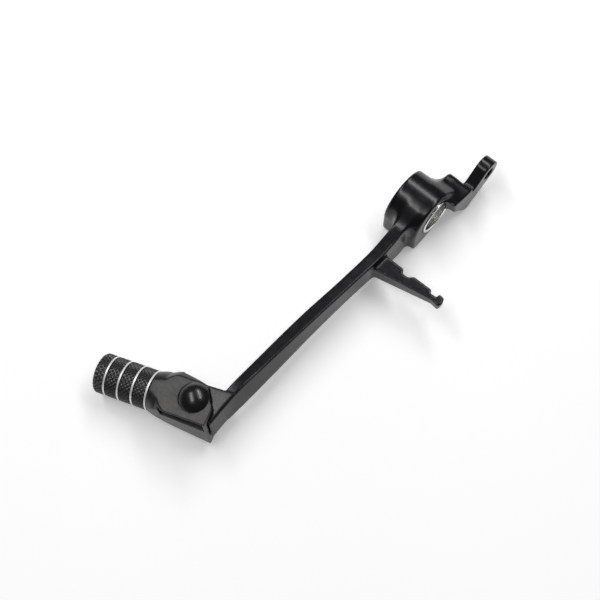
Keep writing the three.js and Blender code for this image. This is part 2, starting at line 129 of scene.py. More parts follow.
LOCK_WASHER = {"outer": 5.2, "thickness": 1.4}

PEG_AXIS = TOE @ Matrix.Translation((PEG["x"], 0, 0))
RIVET_AXIS = TOE @ Matrix.Rotation(math.pi / 2, 4, "X")

# ---- studio, in metres ---------------------------------------------------------------------------

CAMERA = {
    "azimuth": math.radians(-50), "elevation": math.radians(69),
    "lens": 84, "sensor": 36, "place": (-0.2459, -0.1339, 0.5898),
}
STRIP = {"aim": Vector((-0.08, 0.01, 0.0)), "distance": 1.4, "width": 0.22, "length": 1.4}
STRIP_LINE = Vector((0.6, 0.8, 0))  # the strips' long way, between the arm's line and the pivot's axis
STRIPS = {  # direction from the part, watts
    "boss_side": (Vector((0.56, 0.04, 0.83)), 9.5),
    "toe_side": (Vector((-0.13, 0.36, 0.89)), 9.0),
}
TENT = [(0.0, 0.08), (0.3, 0.08), (0.6, 0.09), (0.85, 0.11), (1.0, 0.11)]  # height, brightness
FLOOR = {"reach": 3000.0, "gap": 0.2, "glow": 0.30}  # the reach and gap in millimetres, as the shapes are


# ---- distance fields -----------------------------------------------------------------------------

def length(a, b):
    """The length of a vector with these two components."""
    return np.sqrt(a * a + b * b)


def arc(u, v, radius, start, end, count):
    """Points along an arc, both ends among them."""
    angles = np.linspace(start, end, count)
    return [(u + radius * math.cos(a), v + radius * math.sin(a)) for a in angles]


def merged(a, b, fillet):
    """Two solids as one, with a fillet of about this radius where they meet."""
    near = np.maximum(2 * fillet - np.abs(a - b), 0) / (2 * fillet)
    return np.minimum(a, b) - near * near * fillet / 2


def shared(a, b, rounding):
    """What lies in both solids, with the new edges rounded."""
    return -merged(-a, -b, rounding)


def without(solid, *cuts):
    """The solid with sharp-edged cuts taken out of it."""
    for cut in cuts:
        solid = np.maximum(solid, -cut)
    return solid


def slab(at, low, high):
    """What lies between two parallel planes."""
    return np.abs(at - (low + high) / 2) - (high - low) / 2


def boxed(a, b, rounding):
    """The product of two distances at right angles, such as a cross-section and a length."""
    a = a + rounding
    b = b + rounding
    return length(np.maximum(a, 0), np.maximum(b, 0)) + np.minimum(np.maximum(a, b), 0) - rounding


def extruded(section, along, low, high, rounding=0.4):
    """A cross-section drawn out between two planes, with its end edges rounded."""
    return boxed(section, slab(along, low, high), rounding)


def polygon(u, v, corners):
    """Signed distance in a plane to a closed outline."""
    corners = np.asarray(corners, dtype=float)
    nearest = None
    inside = None
    for (au, av), (bu, bv) in zip(corners, np.roll(corners, 1, axis=0)):
        eu, ev = bu - au, bv - av
        if eu == 0 and ev == 0:
            continue
        wu, wv = u - au, v - av
        along = np.clip((wu * eu + wv * ev) / (eu * eu + ev * ev), 0, 1)
        gap = (wu - eu * along) ** 2 + (wv - ev * along) ** 2
        above, below, left = v >= av, v < bv, eu * wv > ev * wu
        crossed = (above & below & left) | ~(above | below | left)
        nearest = gap if nearest is None else np.minimum(nearest, gap)
        inside = crossed if inside is None else inside ^ crossed
    return np.where(inside, -1, 1) * np.sqrt(nearest)


def softened(corners, steps=5):
    """The outline with each (u, v, reach) corner rounded off from that far along its two sides."""
    points = []
    for i, (u, v, radius) in enumerate(corners):
        here = np.array([u, v], dtype=float)
        if radius == 0:
            points.append(here)
            continue
        arms = []
        for other in (corners[i - 1], corners[(i + 1) % len(corners)]):
            arm = np.array(other[:2], dtype=float) - here
            arms.append(here + arm * min(radius / np.linalg.norm(arm), 0.5))
        for t in np.linspace(0, 1, steps):
            points.append((1 - t) ** 2 * arms[0] + 2 * t * (1 - t) * here + t * t * arms[1])
    return points


def spline(at, knots, values):
    """A smooth curve through the values, read at any place between the knots."""
    order = np.argsort(knots)
    knots, values = np.asarray(knots)[order], np.asarray(values)[order]
    slopes = np.gradient(values, knots)
    at = np.clip(at, knots[0], knots[-1])
    i = np.clip(np.searchsorted(knots, at) - 1, 0, len(knots) - 2)
    step = knots[i + 1] - knots[i]
    t = (at - knots[i]) / step
    rise = values[i + 1] - values[i]
    a = slopes[i] * step - rise
    b = rise - slopes[i + 1] * step
    return values[i] + t * rise + t * (1 - t) * (a * (1 - t) + b * t)


def smoothstep(at, low, high):
    """A smooth rise from 0 at low to 1 at high."""
    t = np.clip((at - low) / (high - low), 0, 1)
    return t * t * (3 - 2 * t)


def in_toe_frame(x, y, z):
    """The lever's coordinates as the toe tip's own."""
    back = TOE.inverted()
    return tuple(row[0] * x + row[1] * y + row[2] * z + row[3] for row in back[:3])


# ---- meshes from distance fields -----------------------------------------------------------------

def sampled(field, points):
    """The field at points between its grid's nodes."""
    base = np.clip(np.floor(points).astype(int), 0, np.array(field.shape) - 2)
    part = points - base
    total = 0
    for corner in itertools.product((0, 1), repeat=3):
        weight = np.prod(np.where(corner, part, 1 - part), axis=1)
        total = total + weight * field[tuple((base + corner).T)]
    return total


def surface_net(field):
    """Vertices, in grid steps, and quads of the surface where the field is zero."""
    inside = field < 0
    cells, points, quads = [], [], []
    for axis in range(3):
        behind = tuple(slice(None, -1) if k == axis else slice(None) for k in range(3))
        ahead = tuple(slice(1, None) if k == axis else slice(None) for k in range(3))
        at = np.argwhere(inside[behind] != inside[ahead])
        first, second = field[behind][tuple(at.T)], field[ahead][tuple(at.T)]
        crossing = at.astype(float)
        crossing[:, axis] += first / (first - second)
        ring = []
        for du, dv in ((0, 0), (-1, 0), (-1, -1), (0, -1)):
            cell = at.copy()
            cell[:, (axis + 1) % 3] += du
            cell[:, (axis + 2) % 3] += dv
            ring.append(np.ravel_multi_index(cell.T, field.shape))
            points.append(crossing)
        cells += ring
        quad = np.stack(ring, axis=1)
        leaving = first > 0
        quad[leaving] = quad[leaving][:, ::-1]
        quads.append(quad)
    names, place = np.unique(np.concatenate(cells), return_inverse=True)
    points = np.concatenate(points)
    count = np.bincount(place)
    vertices = np.stack([np.bincount(place, weights=points[:, k]) / count for k in range(3)], axis=1)
    return vertices, np.searchsorted(names, np.concatenate(quads))


def carved(distance, low, high, step):
    """Vertices in millimetres, quads and normals of the solid that a distance function describes."""
    axes = [np.arange(a - 3 * step, b + 3 * step, step) for a, b in zip(low, high)]
    x, y, z = np.ix_(*axes)
    field = distance(x, y, z)
    field = np.where(np.abs(field) < 1e-6, 1e-6, field)
    vertices, quads = surface_net(field)
    slope = np.gradient(field)
    # A few steps along the normals bring the vertices onto the true surface.
    for _ in range(3):
        normal = np.stack([sampled(s, vertices) for s in slope], axis=1)
        size = np.maximum(np.linalg.norm(normal, axis=1), 1e-3)
        normal /= size[:, None]
        move = np.clip(sampled(field, vertices) / size, -0.35, 0.35)
        vertices -= normal * move[:, None]
    return vertices * step + np.array([a[0] for a in axes]), quads, normal


# ---- pieces ---------------------------------------------------------------------------------------

SHARP = math.radians(32)  # edges steeper than this are shaded as edges


def settle(obj, body, slot, *nodes):
    """Joins a finished piece to its CAD body."""
    bpy.context.scene.collection.objects.link(obj)
    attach(obj, body)
    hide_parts(*nodes)
    return obj


def mesh_object(name, vertices, faces, materials, place=None, normals=None):
    """A smooth-shaded object from vertices in millimetres; place takes them to the lever's frame."""
    mesh = bpy.data.meshes.new(name)
    mesh.from_pydata(np.asarray(vertices, dtype=float) * MM, [], faces)
    if place is not None:
        mesh.transform(Matrix.LocRotScale(place.to_translation() * MM, place.to_quaternion(), None))
    mesh.shade_smooth()
    if normals is None:
        mesh.set_sharp_from_angle(angle=SHARP)
    else:
        turn = np.array(place.to_3x3()) if place is not None else np.eye(3)
        mesh.normals_split_custom_set_from_vertices(normals @ turn.T)
    for material in materials:
        mesh.materials.append(material)
    return bpy.data.objects.new(name, mesh)


def lathe(profile, turns=96):
    """Vertices and quads of a closed (radius, y) profile turned about the Y axis."""
    profile = np.asarray(profile, dtype=float)
    angles = np.arange(turns) * 2 * math.pi / turns
    radius, y = profile[:, 0], profile[:, 1]
    vertices = np.stack([
        np.outer(np.cos(angles), radius),
        np.tile(y, (turns, 1)),
        np.outer(np.sin(angles), radius),
    ], axis=-1).reshape(-1, 3)
    n = len(profile)
    faces = []
    for i in range(turns):
        j = (i + 1) % turns
        for k in range(n):
            m = (k + 1) % n
            if profile[k][0] < 1e-6 and profile[m][0] < 1e-6:
                continue
            faces.append((i * n + k, i * n + m, j * n + m, j * n + k))
    return vertices, faces


def turned(name, profile, materials, place, turns=96):
    """A turned piece from (radius, y, rounding) corners."""
    vertices, faces = lathe(softened(profile), turns)
    obj = mesh_object(name, vertices, faces, materials, place)
    clean(obj)
    return obj


def clean(obj):
    """Merges the points that meet on the axis and makes the faces look outwards."""
    work = bmesh.new()
    work.from_mesh(obj.data)
    bmesh.ops.remove_doubles(work, verts=work.verts, dist=1e-7)
    bmesh.ops.dissolve_degenerate(work, edges=work.edges, dist=1e-8)
    bmesh.ops.recalc_face_normals(work, faces=work.faces)
    work.to_mesh(obj.data)
    work.free()
    obj.data.shade_smooth()
    obj.data.set_sharp_from_angle(angle=SHARP)


# ---- materials ------------------------------------------------------------------------------------

class Nodes:
    """A material's node tree with short calls for the few kinds of node used here."""

    def __init__(self, name, **sockets):
        self.material = bpy.data.materials.new(name)
        self.material.use_nodes = True
        self.tree = self.material.node_tree
        self.shader = self.tree.nodes["Principled BSDF"]
        for socket, value in sockets.items():
            self.shader.inputs[socket.replace("_", " ")].default_value = value
        self.place = self.tree.nodes.new("ShaderNodeTexCoord").outputs["Object"]

    def link(self, source, target):
        self.tree.links.new(source, target)

    def noise(self, per_metre, detail=3.0, stretch=None):
        """A cloudy pattern with this many cells to the metre."""
        node = self.tree.nodes.new("ShaderNodeTexNoise")
        node.inputs["Scale"].default_value = per_metre
        node.inputs["Detail"].default_value = detail
        place = self.place
        if stretch is not None:
            squeeze = self.tree.nodes.new("ShaderNodeMapping")
            squeeze.inputs["Scale"].default_value = stretch
            self.link(place, squeeze.inputs["Vector"])
            place = squeeze.outputs["Vector"]
        self.link(place, node.inputs["Vector"])
        return node.outputs["Fac"]

    def ramp(self, source, *stops):
        """A value from 0 to 1 as a colour between (place, colour) stops; a number stands for a grey."""
        node = self.tree.nodes.new("ShaderNodeValToRGB")
        elements = node.color_ramp.elements
        while len(elements) < len(stops):
            elements.new(0.5)
        for element, (at, colour) in zip(elements, stops):
            element.position = at
            rgb = (colour,) * 3 if isinstance(colour, (int, float)) else colour
            element.color = (*rgb, 1)
        self.link(source, node.inputs["Fac"])
        return node.outputs["Color"]

    def facing(self, direction):
        """How squarely the surface faces a direction, from -1 to 1."""
        normal = self.tree.nodes.new("ShaderNodeTexCoord").outputs["Normal"]
        node = self.tree.nodes.new("ShaderNodeVectorMath")
        node.operation = "DOT_PRODUCT"
        self.link(normal, node.inputs[0])
        node.inputs[1].default_value = direction
        return node.outputs["Value"]

    def mix(self, share, first, second):
        """The first colour where share is 0, the second where it is 1."""
        node = self.tree.nodes.new("ShaderNodeMix")
        node.data_type = "RGBA"
        sockets = {socket.identifier: socket for socket in [*node.inputs, *node.outputs]}
        self.link(share, sockets["Factor_Float"])
        self.link(first, sockets["A_Color"])
        self.link(second, sockets["B_Color"])
        return sockets["Result_Color"]

    def bump(self, source, depth_mm, strength=1.0, under=None):
        """A relief this deep, on top of another relief if there is one."""
        node = self.tree.nodes.new("ShaderNodeBump")
        node.inputs["Distance"].default_value = depth_mm * MM
        node.inputs["Strength"].default_value = strength
        self.link(source, node.inputs["Height"])
        if under is not None:
            self.link(under, node.inputs["Normal"])
        return node.outputs["Normal"]

    def feed(self, socket, source):
        self.link(source, self.shader.inputs[socket])

    def colour(self, pattern, *stops):
        self.feed("Base Color", self.ramp(pattern, *stops))

    def roughness(self, pattern, *stops):
        self.feed("Roughness", self.ramp(pattern, *stops))


def coated_casting():
    """Satin black coat over a cast skin: slightly uneven gloss and a very fine ripple."""
    n = Nodes("coated_casting", IOR=1.38, Specular_IOR_Level=0.5, Coat_Weight=0.08, Coat_Roughness=0.14)
    n.colour(n.noise(70, 4), (0.3, (0.0035, 0.0035, 0.005)), (0.7, (0.006, 0.006, 0.0078)))
    n.roughness(n.noise(260, 5), (0.3, 0.22), (0.7, 0.3))
    ripple = n.bump(n.noise(220, 2), 0.03, 0.4)
    n.feed("Normal", n.bump(n.noise(1500, 3), 0.005, 0.4, ripple))
    return n.material


def blasted_block_painted_light():
    """Dyed block: a mottled bead-blast finish on its milled flat faces, smoother and darker on its turned
    end; the faces that look up the toe's Z axis are painted lighter, partly for that finish and partly as
    painted light from above.
    """
    n = Nodes("blasted_block_painted_light", IOR=1.5, Specular_IOR_Level=0.5)
    patches = n.noise(240, 6)
    # Faces that look up the toe's Z axis: rougher there, and painted lighter, partly for the blast finish
    # and partly as painted light from above.
    blast_and_light_mask = n.ramp(n.facing(TOE_TURN.col[2]), (0.96, 0.0), (0.99, 1.0))
    dyed = n.ramp(patches, (0.25, (0.010, 0.010, 0.012)), (0.75, (0.016, 0.016, 0.018)))
    # The lighter grey on those faces: the blast finish's mottle plus painted light.
    blast_grey_and_painted_light = n.ramp(
        patches,
        (0.25, (0.036, 0.036, 0.039)),
        (0.5, (0.054, 0.052, 0.050)),
        (0.75, (0.072, 0.067, 0.061)),
    )
    n.feed("Base Color", n.mix(blast_and_light_mask, dyed, blast_grey_and_painted_light))
    grain = n.noise(900, 4)
    smoother = n.ramp(grain, (0.3, 0.3), (0.7, 0.4))
    rougher = n.ramp(grain, (0.3, 0.42), (0.7, 0.56))
    n.feed("Roughness", n.mix(blast_and_light_mask, smoother, rougher))
    n.feed("Normal", n.bump(n.noise(2600, 2), 0.015, 0.5))
    return n.material


def black_oxide():
    """Blackened steel with a soft sheen."""
    n = Nodes("black_oxide", Metallic=0.0, IOR=1.55, Specular_IOR_Level=0.5)
    n.colour(n.noise(300, 5), (0.3, (0.003, 0.003, 0.004)), (0.7, (0.006, 0.006, 0.007)))
    n.roughness(n.noise(700, 4), (0.3, 0.22), (0.7, 0.3))
    n.feed("Normal", n.bump(n.noise(1800, 3), 0.003, 0.4))
    return n.material


def knurled_black():
    """Hard black anodising, a little uneven in shade and gloss."""
    n = Nodes("knurled_black", IOR=1.6, Specular_IOR_Level=0.65)
    n.colour(n.noise(900, 4), (0.3, 0.005), (0.7, 0.013))
    n.roughness(n.noise(1500, 3), (0.3, 0.3), (0.7, 0.46))
    n.feed("Normal", n.bump(n.noise(3000, 2), 0.008, 0.5))
    return n.material


def turned_metal(name, colour, roughness, place, metallic=1.0):
    """Bright metal with fine lathe lines round the Y axis of place."""
    n = Nodes(name, Metallic=metallic)
    turn = n.tree.nodes.new("ShaderNodeMapping")
    turn.inputs["Rotation"].default_value = place.inverted().to_euler("XYZ")
    n.link(n.place, turn.inputs["Vector"])
    n.place = turn.outputs["Vector"]
    lines = n.noise(90, 6, stretch=(0.4, 60, 0.4))
    darker = tuple(c * 0.82 for c in colour)
    n.colour(lines, (0.3, darker), (0.65, colour))
    n.roughness(lines, (0.3, roughness * 1.35), (0.7, roughness * 0.8))
    n.feed("Normal", n.bump(lines, 0.012, 0.5))
    return n.material


def spring_steel():
    """Bare grey steel with a faint mottle."""
    n = Nodes("spring_steel", Metallic=1.0)
    n.colour(n.noise(500, 4), (0.3, (0.2, 0.2, 0.21)), (0.7, (0.36, 0.36, 0.37)))
    n.roughness(n.noise(1200, 3), (0.3, 0.28), (0.7, 0.42))
    n.feed("Normal", n.bump(n.noise(2500, 2), 0.006, 0.4))
    return n.material


# ---- lever casting ----------------------------------------------------------------------------------

def boss_field(x, y, z):
    """The bushed boss with the square nose under the root of the arm."""
    ring = length(x - BOSS["x"], z) - BOSS["radius"]
    nose = polygon(x, z, softened([
        (BOSS["x"], 0, 0),
        (BOSS["nose_x"], 0, 0),
        (BOSS["nose_x"], -BOSS["radius"], 3.2),
        (BOSS["x"], -BOSS["radius"], 0),
    ]))
    return extruded(np.minimum(ring, nose), y, BOSS["inboard"], BOSS["outboard"], 1.1)


def arm_field(x, y, z):
    """A bar with drafted sides that twists from the level boss to the dipped toe tip."""
    stations = ARM[:, 0]
    middle_y, middle_z, half_width, half_depth, draft = (
        spline(x, stations, column) for column in ARM[:, 1:].T
    )
    twist = TOE_DIP * smoothstep(-x, 30, 130)
    dy, dz = y - middle_y, z - middle_z
    across = dy * np.cos(twist) - dz * np.sin(twist)
    up = dy * np.sin(twist) + dz * np.cos(twist)
    side = (np.abs(across) - (half_width - draft * up)) / np.sqrt(1 + draft * draft)
    section = boxed(side, np.abs(up) - half_depth, 0.7)
    return shared(section, slab(x, ARM_END, stations[0]), 0.3)


TAB_ROOT_SIDE = softened([  # x, z, reach of the rounding
    (5.5, 8.6, 0), (12.6, 5.4, 8), (20.2, 3.7, 2.6), (20.4, -13.9, 2.4),
    (16.2, -13.9, 3), (10.3, -4.8, 0), (6.5, 0.0, 0),
])
TAB_WEB_PLAN = softened([  # x, y, reach of the rounding
    (6, 7.0, 0), (10.6, 2.6, 3), (18.4, -2.6, 3), (18.4, -6, 0), (6, -6, 0),
])
TAB_FOOT = [(19.0, -1.6), (17.5, -5.0), (18.6, -13.2)]  # the tab's corners inside the root, x and z


def tab_field(x, y, z):
    """The offset root beyond the boss, its saddle, and the flat linkage tab."""
    root = polygon(x, z, TAB_ROOT_SIDE)
    root = extruded(root, y, TAB_ROOT["inboard"], TAB_ROOT["outboard"], 0.8)
    web = polygon(x, y, TAB_WEB_PLAN)
    web = extruded(web, z, TAB_ROOT["web_bottom"], TAB_ROOT["web_top"], 1.0)
    root = merged(root, web, 1.6)
    quarter = math.pi / 2
    tip = arc(TAB["hole_x"], 0, TAB["end"], TAB["rise"] - quarter, TAB["rise"] + quarter, 49)
    plate = polygon(x, z, [*TAB_FOOT, *tip])
    plate = extruded(plate, y, TAB["inboard"], TAB["outboard"], 0.55)
    return np.maximum(merged(root, plate, 1.2), TAB["inboard"] - y)


FINGER_TIP = [(-36.4, -38.9, 1.6), (-35.6, -34.4, 0.6)]
FINGER_PLAN = softened([  # x, y, reach of the rounding; the notches are on the boss's side
    (-41.2, -3, 0), (-31.9, -3, 0),
    (-31.9, -15.6, 0.9), (-33.9, -16.5, 0.8), (-33.9, -19.6, 0.9), (-31.9, -21.6, 0.8),
    (-31.7, -31.4, 0.8), (-33.4, -32.2, 0.7), (-33.2, -35.3, 0.7), (-31.2, -35.6, 0.7),
    (-31.4, -38.4, 0.9), (-33.6, -39.2, 0.9), *FINGER_TIP,
])
FINGER_RIB_PLAN = softened([(-41.2, -3, 0), (-38.2, -3, 0), (-33.4, -38.6, 0.9), *FINGER_TIP])


def finger_field(x, y, z):
    """The spring hook finger: a notched plate over a rib along its toe-side edge."""
    top = FINGER["top"]
    plate = extruded(polygon(x, y, FINGER_PLAN), z, top - FINGER["plate"], top, 0.5)
    share = np.clip((FINGER["root_y"] - y) / FINGER["length"], 0, 1)
    depth = FINGER["root_depth"] + (FINGER["tip_depth"] - FINGER["root_depth"]) * share
    lip = 0.5  # the rib stops this far below the plate's top
    rib = boxed(polygon(x, y, FINGER_RIB_PLAN), np.maximum(z - top + lip, top - depth - z), 0.6)
    return np.minimum(plate, rib)


def lug_field(x, y, z):
    """The full-depth lug and the eye that the toe tip turns on."""
    u, v, w = in_toe_frame(x, y, z)
    stop = BLOCK["stop"] - RUNNING
    plan = [
        (LUG["toe_u"], stop), (LUG["toe_u"], LUG["inboard"]),
        (LUG["boss_u"], LUG["inboard"]), (LUG["boss_u"], -10.6), (8.3, -0.5),
        *arc(0, 0, EYE["radius"], 0, math.pi, 21),
        (-EYE["radius"], stop),
    ]
    lug = extruded(polygon(u, v, plan), w, EYE["bottom"], EYE["top"], 0.4)
    # The inboard wall runs on from the arm's side. It leans out with depth, and more so towards the boss.
    depth = EYE["top"] - w
    lean, flare = 0.04 * depth, 0.0004 * depth * np.maximum(u + 5, 0) ** 2
    inboard_wall = (stop - lean - (u + 10.1) * 0.292 - flare - v) / 1.06
    return shared(lug, inboard_wall, 0.5)


def casting_cuts(x, y, z):
    """The casting's machined holes: the bush's bore, the tab's hole and the eye's."""
    bore = length(x, z) - BOSS["bore"]
    countersink = bore - 0.4 - slab(y, BOSS["inboard"], BOSS["outboard"])
    bore = np.minimum(bore, countersink / math.sqrt(2))
    tab_hole = length(x - TAB["hole_x"], z) - TAB["hole"]
    u, v, w = in_toe_frame(x, y, z)
    pocket = length(u, v) - EYE["pocket"]
    rivet_hole = length(u, v) - RIVET["shank"] - RUNNING
    leg_hole = length(u + SPRING["radius"], v) - SPRING["leg_hole"]
    return [
        np.maximum(bore, slab(y, -BOSS["bore_reach"], BOSS["bore_reach"])),
        np.maximum(tab_hole, slab(y, TAB["inboard"] - 1, TAB["outboard"] + 1)),
        np.maximum(pocket, slab(w, EYE["pocket_floor"], EYE["top"] + 2)),
        np.maximum(rivet_hole, slab(w, EYE["bottom"] - 2, EYE["top"] + 2)),
        np.maximum(leg_hole, slab(w, EYE["pocket_floor"] - 3, EYE["pocket_floor"] + 3)),
    ]


def casting(x, y, z):
    """The lever's one-piece casting with its machined holes."""
    root_fillet = 1.3 + 1.9 * smoothstep(z, -2, 8)
    body = merged(boss_field(x, y, z), arm_field(x, y, z), root_fillet)
    body = merged(body, tab_field(x, y, z), 2.2)
    body = np.maximum(body, -BOSS["radius"] - z)
    body = merged(body, finger_field(x, y, z), 1.0)
    body = merged(body, lug_field(x, y, z), 0.15)
    return without(body, *casting_cuts(x, y, z))


def build_casting():
    """The lever itself, in black coated aluminium."""
    low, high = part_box("lever_body")
    step = 0.45
    vertices, quads, normals = carved(casting, np.array(low) / MM, np.array(high) / MM, step)
    obj = mesh_object("lever_casting", vertices, quads, [coated_casting()], normals=normals)
    return settle(obj, "lever", "black_casting", "lever_body")


def build_bush():
    """A plain turned bush with its outer edges broken and its mouths opened a little."""
    inner, outer, mouth, chamfer = BUSH["inner"], BUSH["outer"], BUSH["mouth"], BUSH["chamfer"]
    inboard, outboard = BUSH["inboard"], BUSH["outboard"]
    profile = [
        (inner, inboard + 0.4, 0), (inner + mouth, inboard, 0.1),
        (outer - chamfer, inboard, 0.1), (outer, inboard + chamfer, 0.1),
        (outer, outboard - chamfer, 0.1), (outer - chamfer, outboard, 0.1),
        (inner + mouth, outboard, 0.1), (inner, outboard - 0.4, 0),
    ]
    here = Matrix.Identity(4)
    steel = turned_metal("turned_steel", (0.93, 0.93, 0.91), 0.2, here)
    obj = turned("bush", profile, [steel], here, 160)
    return settle(obj, "lever", "turned_steel", "pivot_bush")


# ---- toe tip ----------------------------------------------------------------------------------------

# The turned end's radius from the rivet out to the peg, as y and radius.
FLARE = [
    (-30, 16), (5, 15.4), (9.0, 14.0), (11.3, 12.9), (13.1, 12.0), (14.4, 11.25), (15.4, 10.65),
    (16.9, 10.15), (18.4, 9.65), (19.8, 9.3), (20.7, 9.2), (30, 9.2),
]


def turned_end_field(x, y, z):
    """The block's flared end: a little wider than deep, and brought onto the peg's axis at its end."""
    blend = smoothstep(y, 14.5, BLOCK["end"])
    stretch = spline(y, [8, 11.3, 14.4, 17.4, 20.7], [1.0, 1.015, 1.05, 1.08, 1.0])
    axis_x = -1.3 + (PEG["x"] + 1.3) * blend
    axis_z = -0.7 * (1 - blend)
    return polygon(y, length((x - axis_x) / stretch, z - axis_z), [(-30, -5), *FLARE, (30, -5)])


def block_cuts(x, y, z):
    """The slot along the toe side, the space for the eye, and the rivet's and bolt's holes."""
    cavity = np.maximum(CHEEK["web_x"] - x, y - CHEEK["cavity_y"])
    slot = np.maximum(x - SLOT["floor_x"], slab(y, SLOT["start"], SLOT["end"]))
    washer_seat = length(x, y) - RIVET_WASHER["outer"] - RUNNING
    bolt_hole = length(x - PEG["x"], z) - BOLT["shank"] - FIT
    return [
        np.maximum(cavity, slab(z, CHEEK["bottom"], CHEEK["top"])),
        np.maximum(slot, slab(z, SLOT["bottom"], SLOT["top"])),
        np.maximum(washer_seat, z - RIVET_WASHER["seat"]),
        length(x, y) - RIVET["shank"] - FIT,
        np.maximum(bolt_hole, CHEEK["cavity_y"] / 2 - y),
    ]


def toe_block_field(x, y, z):
    """The folding block, in the toe tip's frame: a flared turned end milled flat round the rivet."""
    top, bottom, stop = BLOCK["top"], BLOCK["bottom"], BLOCK["stop"]
    toe_lean = 0.09 * (1 - np.clip((y - stop) / 21, 0, 1))
    toe_wall = (BLOCK["toe_x"] - toe_lean * (top - z) - x) / 1.004
    boss_wall = x - spline(y, [-9, 1, 8, 11, 14, 20], [8.2, 8.9, 10.3, 11.0, 11.4, 11.6])
    chamfer = (x + z - 16.6) / math.sqrt(2)
    knuckle = 6.3  # radius of the corner that clears the lug when the tip folds
    plan = polygon(x, y, [
        (-14, stop), (-3.8, stop), *arc(-3.8, stop + knuckle, knuckle, -1.5, -0.72, 8),
        (7.4, -3.6), (8.7, 0), (14, 8), (14, 40), (-14, 40),
    ])
    block = shared(turned_end_field(x, y, z), np.maximum(z - top, bottom - z), 0.25)
    block = shared(block, toe_wall, 0.25)
    block = shared(block, shared(boss_wall, chamfer, 0.5), 0.3)
    block = shared(block, plan, 0.3)
    block = shared(block, y - BLOCK["end"], 0.3)
    return without(block, *block_cuts(x, y, z))


def build_block():
    """The folding block that holds the peg, in a matt black with a bead-blast finish, and painted light
    on its upward flat faces.
    """
    low, high = (-14.5, -11, -11), (13, 20.5, 10)
    step = 0.27
    vertices, quads, normals = carved(toe_block_field, low, high, step)
    obj = mesh_object("toe_block_body", vertices, quads, [blasted_block_painted_light()], TOE, normals)
    return settle(obj, "toe_tip", "blasted_black", "toe_block")


def build_rivet():
    """A rivet with a low domed head on top and an upset tail over the washer."""
    head = BLOCK["top"] + FIT
    seat = RIVET_WASHER["seat"] - RIVET_WASHER["thickness"] - 2 * FIT
    tail = seat - RIVET["tail_height"]
    rim, height = RIVET["head"], RIVET["head_height"]
    ball = (rim * rim + height * height) / (2 * height)
    dome = [
        (ball * math.sin(a), head + RIVET["rim"] + height - ball * (1 - math.cos(a)), 0.0)
        for a in np.linspace(math.asin(rim / ball), 0, 22)
    ]
    profile = [
        (0, tail + 0.5, 0), (1.6, tail + 0.3, 0.4), (2.4, tail, 0.4),
        (RIVET["tail"] - 0.9, tail, 0.6), (RIVET["tail"], tail + 0.9, 0.5), (RIVET["tail"], seat, 0.2),
        (RIVET["shank"], seat, 0), (RIVET["shank"], head, 0), (rim - 0.15, head, 0), *dome,
    ]
    obj = turned("rivet", profile, [black_oxide()], RIVET_AXIS, 128)
    return settle(obj, "toe_tip", "black_oxide", "fold_rivet")


def build_rivet_washer():
    """The flat washer that the rivet's tail is upset against."""
    top = RIVET_WASHER["seat"] - FIT
    bottom = top - RIVET_WASHER["thickness"]
    inner, outer = RIVET["shank"] + FIT, RIVET_WASHER["outer"]
    profile = [(inner, bottom, 0.15), (outer, bottom, 0.4), (outer, top, 0.15), (inner, top, 0.15)]
    obj = turned("tail_washer", profile, [black_oxide()], RIVET_AXIS)
    return settle(obj, "toe_tip", "black_oxide", "rivet_washer")


def swept_wire(points, radius, sides=12):
    """A round wire along smooth points, closed at both ends."""
    points = np.asarray(points)
    along = np.gradient(points, axis=0)
    along /= np.linalg.norm(along, axis=1)[:, None]
    guide = np.empty_like(along)
    guide[0] = np.cross(along[0], (1.0, 0, 0))
    for k in range(len(along)):
        carried = guide[max(k - 1, 0)]
        carried = carried - along[k] * carried.dot(along[k])
        guide[k] = carried / np.linalg.norm(carried)
    other = np.cross(along, guide)
    angles = np.arange(sides) * 2 * math.pi / sides
    rings = [
        centre + radius * (np.outer(np.cos(angles), g) + np.outer(np.sin(angles), o))
        for centre, g, o in zip(points, guide, other)
    ]
    faces = []
    for k in range(len(rings) - 1):
        for i in range(sides):
            j = (i + 1) % sides
            faces.append((k * sides + i, k * sides + j, (k + 1) * sides + j, (k + 1) * sides + i))
    faces.append(tuple(range(sides)))
    faces.append(tuple(range(len(rings) * sides - 1, (len(rings) - 1) * sides - 1, -1)))
    return np.concatenate(rings), faces


def spring_leg(leg_x, leg_end, joint, bend):
    """A straight leg from its free end, then a bend that stops just short of the coil's end."""
    level = joint[2]
    straight = [(leg_x, 0, z) for z in np.linspace(leg_end, level + bend, 5)[:-1]]
    curve = []
    for a in np.linspace(0, math.pi / 2, 8)[:-1]:
        x = leg_x + (joint[0] - leg_x) * math.sin(a)
        y = joint[1] * (1 - math.cos(a))
        curve.append((x, y, level + bend * (1 - math.sin(a))))
    return [*straight, *curve]


def spring_path():
    """A leg down into the eye, the coil, and a leg up into the cheek, with bends between them."""
    radius, bend = SPRING["radius"], SPRING["bend"]
    low, high = SPRING["bottom"] + SPRING["wire"], SPRING["top"] - SPRING["wire"]
    sweep = SPRING["turns"] * 2 * math.pi
    turn = np.linspace(0, 1, 300)
    angle = math.pi + bend / radius + turn * (sweep - 2 * bend / radius)
    coil = np.stack([radius * np.cos(angle), radius * np.sin(angle), low + turn * (high - low)], axis=1)
    lower = spring_leg(-radius, SPRING["leg_down"], coil[0], -bend)
    upper = spring_leg(radius, SPRING["leg_up"], coil[-1], bend)
    return np.array([*lower, *coil, *upper[::-1]])


def build_spring():
    """The torsion spring round the rivet, out of sight in the eye's pocket."""
    vertices, faces = swept_wire(spring_path(), SPRING["wire"])
    obj = mesh_object("torsion_spring", vertices, faces, [spring_steel()], TOE)
    clean(obj)
    return settle(obj, "toe_tip", "spring_steel", "fold_spring")


# ---- toe peg ------------------------------------------------------------------------------------------

